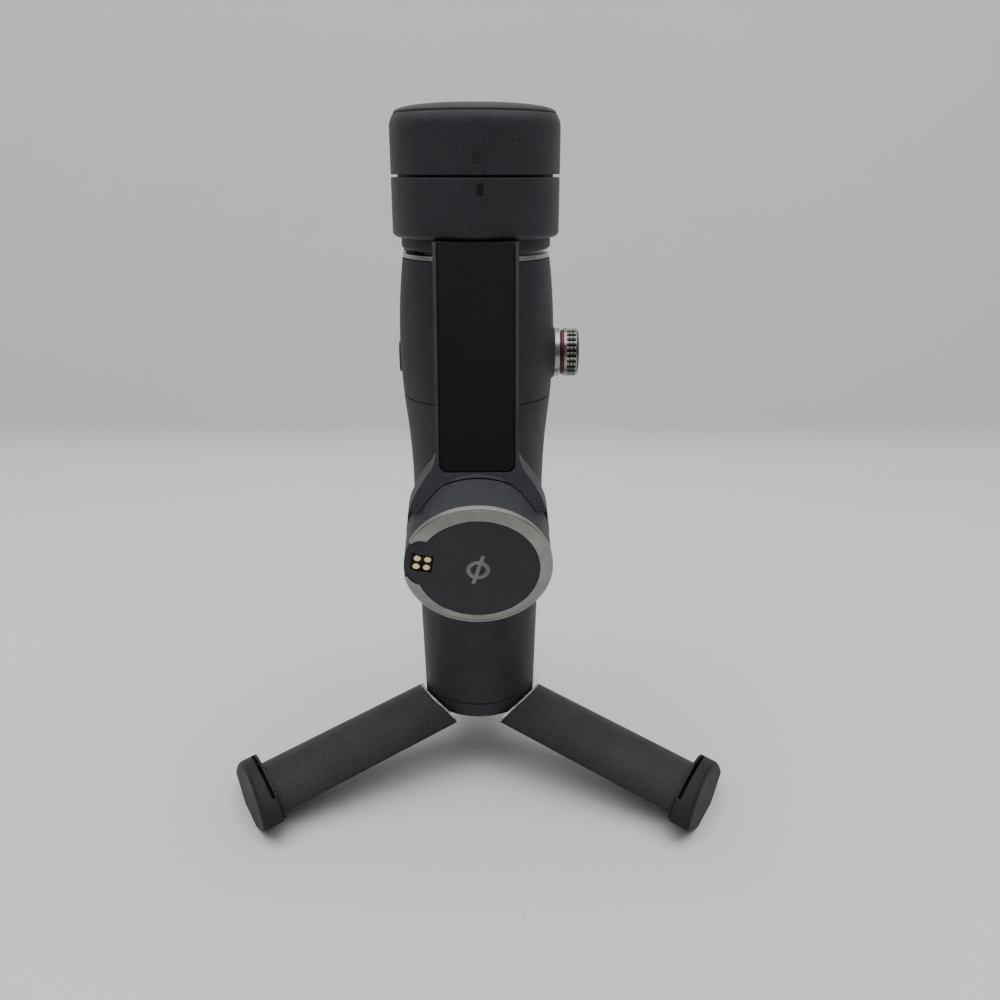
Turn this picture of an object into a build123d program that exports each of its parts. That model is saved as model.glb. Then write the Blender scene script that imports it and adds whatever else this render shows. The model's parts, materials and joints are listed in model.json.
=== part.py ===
"""Folding three-axis phone gimbal, standing on its own opened tripod with the head folded down.

Frame: the origin is the mouth of the threaded socket at the bottom of the handle, +Z runs up the
handle, -Y faces the folded arm and the phone plate, +X carries the side wheel. Millimetres.
"""
import math
import os

from build123d import *

os.makedirs("parts", exist_ok=True)

# ---- driving dimensions -------------------------------------------------------------------
HEAD_R = 23.0              # radius of the double-cylinder tilt motor
LID_TOP = 179.6            # top of the lid above the socket mouth
LID_SEAM = 176.9           # seam between lid and upper motor half
LID_R = 21.8
LID_FULLNESS = 0.8         # 1 is an ellipse, less is squarer at the rim
HALF_GAP = (161.2, 161.9)  # gap between the two motor halves
LOWER_HALF_BASE = 145.8
DISC_R = 20.7              # foot disc of the arm, under the motor
DISC_BASE = 142.6
CAP_R = 20.45              # bright rotor cap on top of the handle
CAP_Z = (140.4, 141.6)
HANDLE_TOP = 140.1
GRIP_SEAM = 101.8          # seam between grip sleeve and upper shell
COLLAR_TOP = 5.45          # seam between bottom collar and grip sleeve
SEAM = 0.15                # half width of a seam between two shells

GUIDE_R = 8.4              # outer radius of the fixed rod guide
STAGE_RADII = (7.3, 6.3, 5.3, 4.3)   # bores of the guide and of the rod stages, outside in
RUNNING = 0.05             # radial clearance of a running fit
ROD_TOP = 120.6

PLATE_Y = -59.2            # centre of the phone plate
PLATE_Z = 70.9
PLATE_TILT = 17.0          # the plate looks this far below the horizontal, degrees
PLATE_R = 18.5
NOTCH_ANGLE = 170.3        # direction of the contact notch, seen from the front, degrees
MOTOR_BACK = -25.8         # back of the roll motor, along the plate normal
MOTOR_SEAM = (-12.9, -12.4)

WHEEL_Z = 113.2
WHEEL_R = 6.9
DIAL_START = 25.0
WHEEL_END = 29.2
BUSH_R = 3.0
KNURLS = 26

STOW_TURN = 1.3            # the stored head and arm stand this far off the handle's front, degrees

JOY_Z = 108.0
JOY_PIVOT_Y = 12.6

FOLD_X = -18.5             # fold hinge axis, parallel to Y
FOLD_Z = 146.2

LEG_SLOPE = 11.75          # slope of an opened leg, degrees
LEG_R = 15.6               # radius of the bundle that the closed legs form
LEG_PIVOT = (12.0, 2.8)    # radius and height of each leg's hinge pin
LEG_START = 3.6
FOOT_START = 61.7
FOOT_FACES = (73.2, 78.8)   # upright inner and outer faces of an opened leg's foot, from the axis
FOOT_R = 18.9
LEG_HALF_ANGLE = 54.5
FLOOR_Z = -19.4
SADDLE_R = 19.0            # the leg's inner end wraps the handle at this radius
LINING = 0.6               # metal lining of the saddle
SADDLE_FLOOR = -0.95       # below this height the leg reaches in under the collar
LEG_AZIMUTHS = {"left": -150.0, "right": -30.0, "back": 90.0}

BASE = (Align.CENTER, Align.CENTER, Align.MIN)


# ---- helpers ------------------------------------------------------------------------------
def ring(outer, inner, low, high):
    """Vertical ring or disc about the Z axis."""
    body = Pos(0, 0, low) * Cylinder(outer, high - low, align=BASE)
    if inner > 0:
        body -= Pos(0, 0, low - 1) * Cylinder(inner, high - low + 2, align=BASE)
    return body


def turned(points):
    """Solid of revolution about Z from (radius, height) points."""
    return revolve(make_face(Polyline(*[(r, 0, z) for r, z in points], close=True)), Axis.Z)


def slab(x0, x1, y0, y1, z0, z1):
    """Box given by its limits."""
    return Pos((x0 + x1) / 2, (y0 + y1) / 2, (z0 + z1) / 2) * Box(x1 - x0, y1 - y0, z1 - z0)


def along_x(shape, y=0.0, z=0.0):
    """Turn a shape built along +Z so that it lies along +X at the given y and z."""
    return Plane(origin=(0, y, z), x_dir=(0, 1, 0), z_dir=(1, 0, 0)).location * shape


def along_y(shape, x=0.0, z=0.0):
    """Turn a shape built along +Z so that it lies along +Y at the given x and z."""
    return Plane(origin=(x, 0, z), x_dir=(-1, 0, 0), z_dir=(0, 1, 0)).location * shape


def pill(length, width, depth):
    """Flat oblong block with round ends, long side along local Y, built up +Z."""
    return extrude(SlotOverall(length, width, rotation=90), depth)


def pad(width, height, radius, depth):
    """Rounded rectangle block, built up +Z."""
    return extrude(RectangleRounded(width, height, radius), depth)


def side_extrude(points, half_width):
    """Extrude an outline of (y, z) points to both sides of the YZ plane."""
    face = make_face(Polyline(*[(0, y, z) for y, z in points], close=True))
    return extrude(face, half_width, dir=(1, 0, 0), both=True)


def save(name, shape):
    """Write one node."""
    export_step(shape, f"parts/{name}.step")


# ---- handle -------------------------------------------------------------------------------
def handle_form():
    """Outer form of the handle: a slim taper below, a soft barrel above."""
    outline = [
        Line((0, 0, 0), (15.65, 0, 0)),
        ThreePointArc((15.65, 0, 0), (17.1, 0, 0.5), (17.7, 0, 1.9)),
        Line((17.7, 0, 1.9), (19.5, 0, 72)),
        ThreePointArc((19.5, 0, 72), (19.95, 0, 86), (21.15, 0, 98.5)),
        ThreePointArc((21.15, 0, 98.5), (22.1, 0, 119), (20.6, 0, HANDLE_TOP)),
        Line((20.6, 0, HANDLE_TOP), (0, 0, HANDLE_TOP)),
        Line((0, 0, HANDLE_TOP), (0, 0, 0)),
    ]
    return revolve(make_face(outline), Axis.Z)


FORM = handle_form()
GRIP_BORE = 15.9
GRIP_BORE_UPPER = 17.6
SHELL_BORE = 18.7
PANEL_Z = (86.0, 121.0)
PANEL_HALF = 10.6
WINDOW_GAP = 0.15


def panel_zone(gap):
    """Region of the back wall that the control panel fills, grown by a gap."""
    low, high = PANEL_Z
    return slab(-PANEL_HALF - gap, PANEL_HALF + gap, 10, 30, low - gap, high + gap)


TRIGGER_WINDOW = slab(-4.8, 4.8, -30, -12, 102.9, 118.9)
TRIGGER_PIVOT = (-17.9, 117.0)
TRIGGER_PIN = Pos(-8, 0, 0) * along_x(Cylinder(1.0, 16, align=BASE), *TRIGGER_PIVOT)
POWER_Z = 112.0
USB_Z = 88.0
BUTTON_X = 4.9
BUTTON_Z = 93.5


def facing_left(shape, z):
    """Place a shape built up +Z so that it points out of the -X side."""
    return Plane(origin=(0, 0, z), x_dir=(0, -1, 0), z_dir=(-1, 0, 0)).location * shape


def facing_back(shape, x, z):
    """Place a shape built up +Z so that it points out of the +Y side."""
    return Plane(origin=(x, 0, z), x_dir=(-1, 0, 0), z_dir=(0, 1, 0)).location * shape


def grip_sleeve():
    """Lower shell of the handle, with a spigot that the upper shell slides over."""
    body = FORM & ring(30, 0, COLLAR_TOP + SEAM, GRIP_SEAM - SEAM)
    body += ring(18.6, GRIP_BORE_UPPER, GRIP_SEAM - 2, GRIP_SEAM + 3.5)
    body -= ring(GRIP_BORE, 0, 0, 76.5)
    body -= ring(GRIP_BORE_UPPER, 0, 76.4, 110)
    body -= panel_zone(WINDOW_GAP)
    body -= TRIGGER_WINDOW
    body -= facing_left(Pos(0, 0, 10) * pad(3.7, 9.5, 1.8, 20), USB_Z)
    return body


def wheel_fairing():
    """Concave swelling of the shell that rises to the wheel's boss."""
    outline = [
        Line((0, 0, 15.0), (12.5, 0, 15.0)),
        Line((12.5, 0, 15.0), (12.5, 0, 18.0)),
        ThreePointArc((12.5, 0, 18.0), (8.9, 0, 20.3), (7.1, 0, 22.35)),
        Line((7.1, 0, 22.35), (0, 0, 22.35)),
        Line((0, 0, 22.35), (0, 0, 15.0)),
    ]
    return along_x(revolve(make_face(outline), Axis.Z), 0, WHEEL_Z)


def upper_shell():
    """Upper barrel of the handle with its windows and the fairing under the wheel."""
    body = FORM & ring(30, 0, GRIP_SEAM + SEAM, HANDLE_TOP)
    body += wheel_fairing()
    body -= ring(SHELL_BORE, 0, 90, 137.0)
    body -= ring(18.2, 0, 130, 145)
    body -= panel_zone(WINDOW_GAP)
    body -= TRIGGER_WINDOW
    body -= TRIGGER_PIN
    body -= along_x(Cylinder(4.0, 30, align=BASE), 0, WHEEL_Z)
    body -= facing_left(Pos(0, 0, 10) * pill(9.4, 4.6, 20), POWER_Z)
    return body


def bottom_collar():
    """Ring round the tripod hub, slotted for the three leg brackets."""
    body = FORM & ring(30, 15.0, -1, COLLAR_TOP - SEAM)
    for azimuth in LEG_AZIMUTHS.values():
        body -= Rot(0, 0, azimuth) * slab(9, 25, -3.6, 3.6, -2, 3.9)
    return body


def button_post(gap):
    """Panel button: an oblong post, grown by a gap for its hole."""
    return Pos(0, 0, 14.0) * pad(6.6 + 2 * gap, 5.0 + 2 * gap, 1.6, 10)


def control_panel():
    """Curved panel on the user's side with the stick, two buttons and the status window."""
    low, high = PANEL_Z
    body = FORM & panel_zone(0)
    body -= ring(SHELL_BORE + 0.1, 0, GRIP_SEAM + 3.4, high + 5)
    body -= ring(18.75, 0, GRIP_SEAM - 2.2, GRIP_SEAM + 3.5)
    body -= ring(GRIP_BORE_UPPER + 0.1, 0, low - 5, GRIP_SEAM - 2.1)
    body -= facing_back(Cylinder(5.2, 40, align=BASE), 0, JOY_Z)
    body -= slab(-9.4, 9.4, 10, 16.35, BUTTON_Z - 3.6, BUTTON_Z + 3.6)
    for side in (-1, 1):
        body -= facing_back(button_post(0.2), side * BUTTON_X, BUTTON_Z)
    body -= facing_back(Pos(0, 0, 20.7) * pad(9.2, 3.6, 1.0, 5), 0, 117.2)
    return body


def status_window():
    """Small glossy window over the status lamps."""
    return FORM & facing_back(Pos(0, 0, 20.7) * pad(9.0, 3.4, 0.9, 5), 0, 117.2)


def panel_button(x):
    """Sprung button of the panel, standing slightly proud, with a flange behind the panel."""
    proud = 20.65
    post = facing_back(Pos(0, 0, 15.9) * pad(6.6, 5.0, 1.6, proud - 15.9), x, BUTTON_Z)
    top = post.faces().sort_by(Axis.Y)[-1]
    post = fillet(top.edges(), 0.45)
    return post + facing_back(Pos(0, 0, 15.4) * pad(8.0, 6.4, 1.0, 0.8), x, BUTTON_Z)


def power_button():
    """Oblong power button on the left side."""
    post = facing_left(Pos(0, 0, 18.1) * pill(9.0, 4.2, 4.4), POWER_Z)
    post = fillet(post.faces().sort_by(Axis.X)[0].edges(), 0.4)
    return post + facing_left(Pos(0, 0, 17.5) * pad(5.6, 10.4, 1.0, 0.7), POWER_Z)


def trigger():
    """Finger trigger under the folded arm, hung on a pin at its upper end."""
    outline = [
        (-16.6, 118.2), (-22.2, 118.2), (-23.3, 115.0), (-22.9, 110.0), (-24.3, 104.6),
        (-23.6, 103.6), (-21.5, 103.6), (-19.2, 105.0), (-18.9, 113.0), (-16.6, 115.4),
    ]
    body = side_extrude(outline, 4.5)
    return body - along_x(Pos(0, 0, -10) * Cylinder(1.0 + RUNNING, 20, align=BASE), *TRIGGER_PIVOT)


def tripod_hub():
    """Block inside the collar that carries the socket and the three leg hinges."""
    body = ring(14.9, 4.6, 0, 5.6) + ring(15.8, 4.6, COLLAR_TOP + SEAM, 9.2)
    pins = leg_hinge_pins()
    for azimuth in LEG_AZIMUTHS.values():
        body -= Rot(0, 0, azimuth) * slab(8.8, 25, -3.3, 3.3, -1, 6.2)
        body -= Rot(0, 0, azimuth + 60) * Pos(11.5, 0, -1) * Cylinder(1.1, 20, align=BASE)
    return body - pins


def leg_hinge_pins():
    """Three steel pins, one per leg."""
    radius, height = LEG_PIVOT
    pin = Plane(origin=(radius, -5.6, height), x_dir=(1, 0, 0), z_dir=(0, 1, 0)).location
    pin *= Cylinder(1.2, 11.2, align=BASE)
    return Compound([Rot(0, 0, azimuth) * pin for azimuth in LEG_AZIMUTHS.values()])


def hub_screws():
    """Three screws between the leg slots, heads sunk in the hub's underside."""
    screws = []
    for azimuth in LEG_AZIMUTHS.values():
        head = ring(1.05, 0, 0.3, 1.8) - Pos(0, 0, 0.2) * Box(0.5, 1.4, 1.0)
        shank = ring(0.95, 0, 1.8, 9.0)
        screws.append(Rot(0, 0, azimuth + 60) * Pos(11.5, 0, 0) * (head + shank))
    return Compound(screws)


def socket_insert():
    """Brass insert with the 1/4 inch tripod thread, drawn at its tapping size."""
    return ring(4.6, 2.6, 0, 8.2)


def rod_guide():
    """Fixed tube for the telescopic rod, with the collar that centres it in the upper shell."""
    collar = ring(SHELL_BORE - 0.1, STAGE_RADII[0], 119.0, 120.3)
    return ring(GUIDE_R, STAGE_RADII[0], 9.2, 119.0) + collar - panel_zone(0.3)


def rod_stage(index):
    """One tube of the telescopic rod."""
    outer = STAGE_RADII[index - 1] - RUNNING
    return ring(outer, STAGE_RADII[index], 12.0 + 2 * index, ROD_TOP)


def curved_cell(low, high, start, end):
    """Battery cell shaped as a sector of a ring."""
    body = ring(17.0, 9.0, low, high)
    middle = math.radians((start + end) / 2)
    half = math.radians((end - start) / 2)
    reach = 40.0
    corners = [(0, 0)]
    for angle in (middle - half, middle, middle + half):
        corners.append((reach * math.cos(angle), reach * math.sin(angle)))
    wedge = extrude(make_face(Polyline(*corners, close=True)), 200)
    return body & wedge


def battery_cells():
    """Two curved cells wrapped round the rod guide."""
    return Compound([curved_cell(78, 112, -140, -40), curved_cell(78, 103, -36, 32)])


def main_board():
    """Control board behind the panel, with a tact switch under each panel button."""
    board = slab(-10.5, 10.5, 11.6, 12.8, 77.5, 98.0)
    for side in (-1, 1):
        board += slab(side * BUTTON_X - 2.2, side * BUTTON_X + 2.2, 12.8, 14.4, 91.3, 95.7)
    return board + slab(-7, 7, 12.8, 14.2, 79, 87)


def usb_port():
    """Metal shell of the charging port with its tongue."""
    shell = Pos(0, 0, 12.5) * pad(3.5, 9.3, 1.7, 7.2) - Pos(0, 0, 13.5) * pad(2.9, 8.7, 1.4, 9)
    return facing_left(shell, USB_Z) + facing_left(Pos(0, 0, 13) * Box(0.7, 6.6, 5, align=BASE), USB_Z)


# ---- side wheel ---------------------------------------------------------------------------
def wheel_boss():
    """Fixed bright boss on the side of the handle, bored for the sliding bush of the wheel."""
    boss = Cylinder(WHEEL_R, 1.45, align=BASE)
    boss = Pos(0, 0, 22.4) * fillet(boss.edges().sort_by(Axis.Z)[-1], 0.2)
    boss += Pos(0, 0, 16.6) * Cylinder(3.95, 6.0, align=BASE)
    boss -= Cylinder(BUSH_R + RUNNING, 40, align=BASE)
    return along_x(boss, 0, WHEEL_Z)


def wheel_bush():
    """Bush that lets the wheel be pressed in like a button and turn in it."""
    bush = Pos(0, 0, 17.0) * Cylinder(BUSH_R, 6.6, align=BASE)
    bush -= Cylinder(1.5 + RUNNING, 40, align=BASE)
    return along_x(bush, 0, WHEEL_Z)


def wheel_accent_ring():
    """Thin coloured ring between boss and dial."""
    accent = Cylinder(6.45, 0.7, align=BASE) - Cylinder(1.5, 9)
    return along_x(Pos(0, 0, DIAL_START - 0.7) * accent, 0, WHEEL_Z)


def wheel_dial():
    """Knurled dial with its shaft: a plain band, rows of knurls and a chamfered end."""
    length = WHEEL_END - DIAL_START
    dial = Cylinder(WHEEL_R, length, align=BASE)
    dial = chamfer(dial.edges().sort_by(Axis.Z)[-1], 0.7)
    groove = Pos(WHEEL_R, 0, 0.8) * Rot(0, 0, 45) * Box(0.9, 0.9, 2.55, align=BASE)
    for index in range(KNURLS):
        dial -= Rot(0, 0, 360 / KNURLS * index) * groove
    row_gap = Cylinder(8, 0.3, align=BASE) - Cylinder(WHEEL_R - 0.45, 0.3, align=BASE)
    for level in (1.45, 2.4):
        dial -= Pos(0, 0, level) * row_gap
    dial = Pos(0, 0, DIAL_START) * dial
    dial += Pos(0, 0, 15.0) * Cylinder(1.5, DIAL_START - 14.5, align=BASE)
    dial += Pos(0, 0, 14.6) * Cylinder(3.2, 1.6, align=BASE)
    return along_x(dial, 0, WHEEL_Z)


# ---- joystick -----------------------------------------------------------------------------
def at_stick(shape):
    """Place a shape built up +Z from the stick's pivot so that it points to +Y."""
    return Plane(origin=(0, JOY_PIVOT_Y, JOY_Z), x_dir=(-1, 0, 0), z_dir=(0, 1, 0)).location * shape


def stick_base():
    """Fixed frame with two ears that hold the yoke."""
    body = slab(-10.6, 10.6, 8.9, 9.6, 101.5, 114.5)
    for side in (-1, 1):
        ear = slab(min(9.0 * side, 10.6 * side), max(9.0 * side, 10.6 * side), 9.6, 13.6, 106.4, 109.6)
        body += ear
    return body - at_stick(Rot(0, 90, 0) * Cylinder(0.8 + RUNNING, 30))


def stick_yoke():
    """Ring that tips up and down and carries the stick's own pivot."""
    body = at_stick(Cylinder(8.2, 2.0) - Cylinder(6.6, 3.0))
    stub = Rot(0, 90, 0) * Cylinder(0.8, 20.4) - Rot(0, 90, 0) * Cylinder(1.0, 15.0)
    return body + at_stick(stub) - at_stick(Rot(90, 0, 0) * Cylinder(0.8 + RUNNING, 30))


def stick_post():
    """Stem of the stick with the ball skirt that seals the panel opening."""
    body = Pos(0, 0, -1.2) * Cylinder(1.9, 12.2, align=BASE)
    skirt = Sphere(5.8) - Sphere(5.0)
    skirt &= Pos(0, 0, 3.4) * Box(20, 20, 10, align=BASE)
    body += skirt
    body += Rot(90, 0, 0) * Cylinder(0.8, 15.6)
    return at_stick(body)


def stick_cap():
    """Dished thumb cap."""
    cap = Pos(0, 0, 11.0) * Cylinder(5.6, 1.8, align=BASE)
    cap = fillet(cap.edges(), 0.5)
    cap -= Pos(0, 0, 12.0 + 14.0) * Sphere(14.0)
    return at_stick(cap)


# ---- pan motor ----------------------------------------------------------------------------
def wound_stator(inner, outer, low, high, teeth=9):
    """Wound stator: a hub with radial teeth, each with its coil."""
    mid = (low + high) / 2
    body = ring(inner + 2.2, inner, low, high)
    body += ring(outer, outer - 1.0, low + 1, high - 1)
    outward = (Align.MIN, Align.CENTER, Align.CENTER)
    tooth = Pos(inner + 1.5, 0, mid) * Box(outer - inner - 2.0, 2.0, high - low - 2, align=outward)
    coil = Pos(inner + 2.6, 0, mid) * Box(outer - inner - 4.0, 3.2, high - low, align=outward)
    for index in range(teeth):
        body += Rot(0, 0, 360 / teeth * index) * (tooth + coil)
    return body


def bearing_pair(shaft, outer, first, second, width=2.2):
    """Two bearings on one shaft, as one group of two solids."""
    rings = []
    for low in (first, second):
        rings.append(ring(outer, shaft + 0.03, low, low + width))
    return Compound(rings)


def pan_motor_cup():
    """Housing of the pan motor, carried by the rod's last stage."""
    body = ring(17.9, 0, ROD_TOP, 138.9) - ring(16.4, 0, ROD_TOP + 2.0, 140)
    body += ring(7.2, 2.6, ROD_TOP + 1.5, 124.4)
    return body - ring(2.6, 0, ROD_TOP + 0.8, 130)


def pan_rotor_bell():
    """Rotor bell of the pan motor with its shaft."""
    bell = ring(16.0, 14.2, 124.2, 138.6)
    bell += ring(16.0, 0, 137.0, 138.6)
    bell += ring(2.5, 0, ROD_TOP + 1.4, 138)
    return bell


def pan_top_cap():
    """Bright cap over the pan motor with the lug of the fold hinge."""
    body = ring(CAP_R, 0, *CAP_Z)
    edge = body.edges().sort_by(Axis.Z)[-1]
    body = fillet(edge, 0.35)
    body += ring(12.0, 0, 138.6, CAP_Z[0] + 0.3)
    lug = slab(-21.4, -9.5, 14.4, 25.3, CAP_Z[0], 142.2)
    lug += slab(FOLD_X - 2.9, FOLD_X + 2.9, 21.5, 25.3, CAP_Z[0], FOLD_Z)
    body += lug
    body += along_y(Pos(0, 0, 21.5) * Cylinder(2.9, 3.8, align=BASE), FOLD_X, FOLD_Z)
    body -= along_y(Cylinder(1.3 + RUNNING, 40, align=BASE), FOLD_X, FOLD_Z)
    return body


# ---- tilt motor ---------------------------------------------------------------------------
def fold_hinge_pin():
    """Steel pin of the fold hinge."""
    return along_y(Pos(0, 0, 17.9) * Cylinder(1.3, 10.3, align=BASE), FOLD_X, FOLD_Z)


def fold_bracket():
    """Curved arm behind the motor, from the fold hinge to the upper motor half."""
    inner, outer = HEAD_R + 0.5, 27.9
    arm = ring(outer, inner, 149.6, 175.2)
    wedge = make_face(Polyline((0, 0), (-6.0, 45.0), (-45.0, 45.0), (-45.0, 42.0), close=True))
    arm &= extrude(wedge, 200)
    pads = (ring(inner + 0.2, HEAD_R, 163.5, 174.0) & extrude(wedge, 200))
    knuckles = slab(FOLD_X - 2.9, FOLD_X + 2.9, 17.8, 28.3, 149.6, 156.0)
    for low, high in ((17.8, 21.2), (25.6, 28.3)):
        knuckles += along_y(Pos(0, 0, low) * Cylinder(2.9, high - low, align=BASE), FOLD_X, FOLD_Z)
        knuckles += slab(FOLD_X - 2.9, FOLD_X + 2.9, low, high, FOLD_Z, 150.0)
    knuckles -= ring(HEAD_R + 0.5, 0, 100, 200)
    body = arm + pads + knuckles
    return body - along_y(Cylinder(1.3, 40, align=BASE), FOLD_X, FOLD_Z)


def index_mark(z, depth, turn):
    """Oblong index mark sunk in the front of a motor half."""
    mark = pill(3.2, 1.7, 3.0)
    front = Plane(origin=(0, -HEAD_R + depth, z), x_dir=(1, 0, 0), z_dir=(0, -1, 0))
    return Rot(0, 0, turn) * front.location * mark


def tilt_upper_housing():
    """Upper motor half with a soft shoulder, and a neck that reaches into the lower half."""
    low = HALF_GAP[1]
    outline = [
        Line((0, 0, low), (HEAD_R, 0, low)),
        Line((HEAD_R, 0, low), (HEAD_R, 0, 173.2)),
        ThreePointArc((HEAD_R, 0, 173.2), (22.72, 0, 175.3), (LID_R + 0.1, 0, LID_SEAM)),
        Line((LID_R + 0.1, 0, LID_SEAM), (0, 0, LID_SEAM)),
        Line((0, 0, LID_SEAM), (0, 0, low)),
    ]
    body = revolve(make_face(outline), Axis.Z)
    body += ring(21.2, 0, 159.9, low + 0.5)
    body -= ring(LID_R - 0.9, 0, 164.2, 180)
    body -= ring(19.6, 0, 150, 162.4)
    body += ring(7.0, 0, 150.2, 164.2)
    body -= ring(5.0, 0, 149, 163.0)
    return body - index_mark(165.6, 0.3, 0.5)


def tilt_lid():
    """Domed lid that curves down to its seam, with a spigot inside the upper motor half."""
    seat = LID_SEAM + 0.12
    steps = 20
    outline = [(0, seat)]
    for step in range(steps + 1):
        turn = math.pi / 2 * step / steps
        outline.append((LID_R * math.cos(turn) ** LID_FULLNESS,
                        seat + (LID_TOP - seat) * math.sin(turn) ** LID_FULLNESS))
    outline[-1] = (0, LID_TOP)
    return turned(outline) + ring(LID_R - 1.0, LID_R - 2.4, 174.0, seat + 0.1)


def tilt_lower_housing():
    """Lower motor half with a fine bevel on its upper rim."""
    body = ring(HEAD_R, 0, LOWER_HALF_BASE, HALF_GAP[0])
    body = fillet(body.edges().sort_by(Axis.Z)[0], 1.5)
    body = chamfer(body.edges().sort_by(Axis.Z)[-1], 0.22)
    body -= ring(21.6, 0, LOWER_HALF_BASE + 1.6, 165)
    return body - index_mark(158.3, 0.9, 3.0) - ring(2.5, 0, LOWER_HALF_BASE + 0.8, 160)


def tilt_rotor_bell():
    """Rotor bell of the tilt motor with its shaft."""
    body = ring(18.2, 15.6, LOWER_HALF_BASE + 1.6, 158.4)
    body += ring(18.2, 0, LOWER_HALF_BASE + 1.6, 148.8)
    return body + ring(2.5, 0, LOWER_HALF_BASE + 0.8, 162.6)


# ---- arm ----------------------------------------------------------------------------------
ROLL_PLANE = Plane(
    origin=(0, PLATE_Y, PLATE_Z),
    x_dir=(1, 0, 0),
    z_dir=(0, -math.cos(math.radians(PLATE_TILT)), -math.sin(math.radians(PLATE_TILT))),
)
ARM_TOP = 145.7
ARM_FRONT = ((-24.5, 145.3), (-51.3, 91.9))     # front face of the arm, (y, z)
RAIL = 0.95                                     # width of the rails beside the arm's panel
POCKET_DEPTH = 1.1
ARM_HALF = (11.1, 10.35)                        # half width of the arm at its top and above its flare
CHEEK_END = 84.2                                # lower end of the cheeks beside the roll motor


def at_plate(shape):
    """Place a shape built about the plate's own axis."""
    return ROLL_PLANE.location * shape


def plate_axis_point(along, across):
    """(y, z) of a point in the arm's mid plane, given along and across the plate's axis."""
    tilt = math.radians(PLATE_TILT)
    y = PLATE_Y - along * math.cos(tilt) - across * math.sin(tilt)
    return (y, PLATE_Z - along * math.sin(tilt) + across * math.cos(tilt))


def arm_silhouette():
    """Front view of the arm as a block in Y: a slim taper that flares into the motor housing."""
    top, low = ARM_TOP + 1, 70.0
    side = [
        Line((0, 0, top), (ARM_HALF[0], 0, top)),
        Line((ARM_HALF[0], 0, top), (ARM_HALF[1], 0, 97.0)),
        ThreePointArc((ARM_HALF[1], 0, 97.0), (10.95, 0, 94.6), (12.7, 0, 92.2)),
        Line((12.7, 0, 92.2), (15.1, 0, 88.7)),
        ThreePointArc((15.1, 0, 88.7), (16.9, 0, 84.6), (17.8, 0, 79.0)),
        Line((17.8, 0, 79.0), (17.8, 0, low)),
        Line((17.8, 0, low), (0, 0, low)),
        Line((0, 0, low), (0, 0, top)),
    ]
    half = extrude(make_face(side), 80, dir=(0, -1, 0))
    return half + mirror(half, Plane.YZ)


def arm_beam():
    """Forward-bowed beam from the foot disc down to two cheeks that hug the roll motor."""
    (y0, z0), (y1, z1) = ARM_FRONT
    cheek_y = y1 + (CHEEK_END - z1) * (y1 - y0) / (z1 - z0)
    outline = [
        (-14.0, ARM_TOP), (-23.8, ARM_TOP), ARM_FRONT[0], (cheek_y, CHEEK_END),
        plate_axis_point(MOTOR_SEAM[0], 10.0), plate_axis_point(MOTOR_SEAM[0], 2.0),
        plate_axis_point(MOTOR_BACK + 3.0, 2.0), plate_axis_point(MOTOR_BACK + 1.5, 16.0),
        (-37.0, 97.5), (-31.0, 122.0), (-23.6, 137.5), (-21.3, DISC_BASE), (-14.0, DISC_BASE),
    ]
    beam = side_extrude(outline, 20) & arm_silhouette()
    return beam - at_plate(Pos(0, 0, MOTOR_SEAM[0]) * Cylinder(18.42, 30, align=BASE))


def arm_frame():
    """Arm: foot disc under the motor, beam and roll motor housing."""
    disc = chamfer(ring(DISC_R, 0, DISC_BASE, LOWER_HALF_BASE).edges().sort_by(Axis.Z)[0], 0.6)
    housing = Pos(0, 0, MOTOR_BACK) * Cylinder(18.4, MOTOR_SEAM[0] - MOTOR_BACK, align=BASE)
    housing = at_plate(fillet(housing.edges().sort_by(Axis.Z)[0], 2.5))
    body = disc + arm_beam() + housing
    body -= at_plate(Pos(0, 0, MOTOR_BACK + 1.8) * Cylinder(16.8, 30, align=BASE))
    body += at_plate(Pos(0, 0, MOTOR_BACK + 1.0) * Cylinder(5.0, 2.6, align=BASE))
    body -= at_plate(Pos(0, 0, MOTOR_BACK + 1.4) * Cylinder(2.05, 30, align=BASE))
    return body - arm_insert(0, POCKET_DEPTH, -3.0, 2.5)


def arm_insert(gap, bottom, top, rise):
    """Block let into the arm's front face, between two depths, a gap inside the rails.

    Its upper end stands a rise above the end of the face, its lower end stops short of the motor.
    """
    (y0, z0), (y1, z1) = ARM_FRONT
    length = math.hypot(y1 - y0, z1 - z0)
    face = Plane(
        origin=(0, (y0 + y1) / 2, (z0 + z1) / 2),
        x_dir=(1, 0, 0),
        z_dir=(0, (z1 - z0) / length, (y0 - y1) / length),
    )
    high, low = length / 2 + rise, 1.3 + gap - length / 2
    upper, lower = ARM_HALF[0] - RAIL - gap, ARM_HALF[1] - RAIL - gap
    corners = Polyline((-upper, high), (upper, high), (lower, low), (-lower, low), close=True)
    outline = fillet(make_face(corners).vertices().sort_by(Axis.Y)[:2], 2.0)
    block = Pos(0, 0, -bottom) * extrude(outline, bottom - top)
    return face.location * block


def arm_panel():
    """Dark panel in the arm's pocket, set a little below the rails and level with the arm's top."""
    return arm_insert(0.25, POCKET_DEPTH, 0.4, 2.0) & slab(-20, 20, -60, 0, 60, ARM_TOP)


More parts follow.
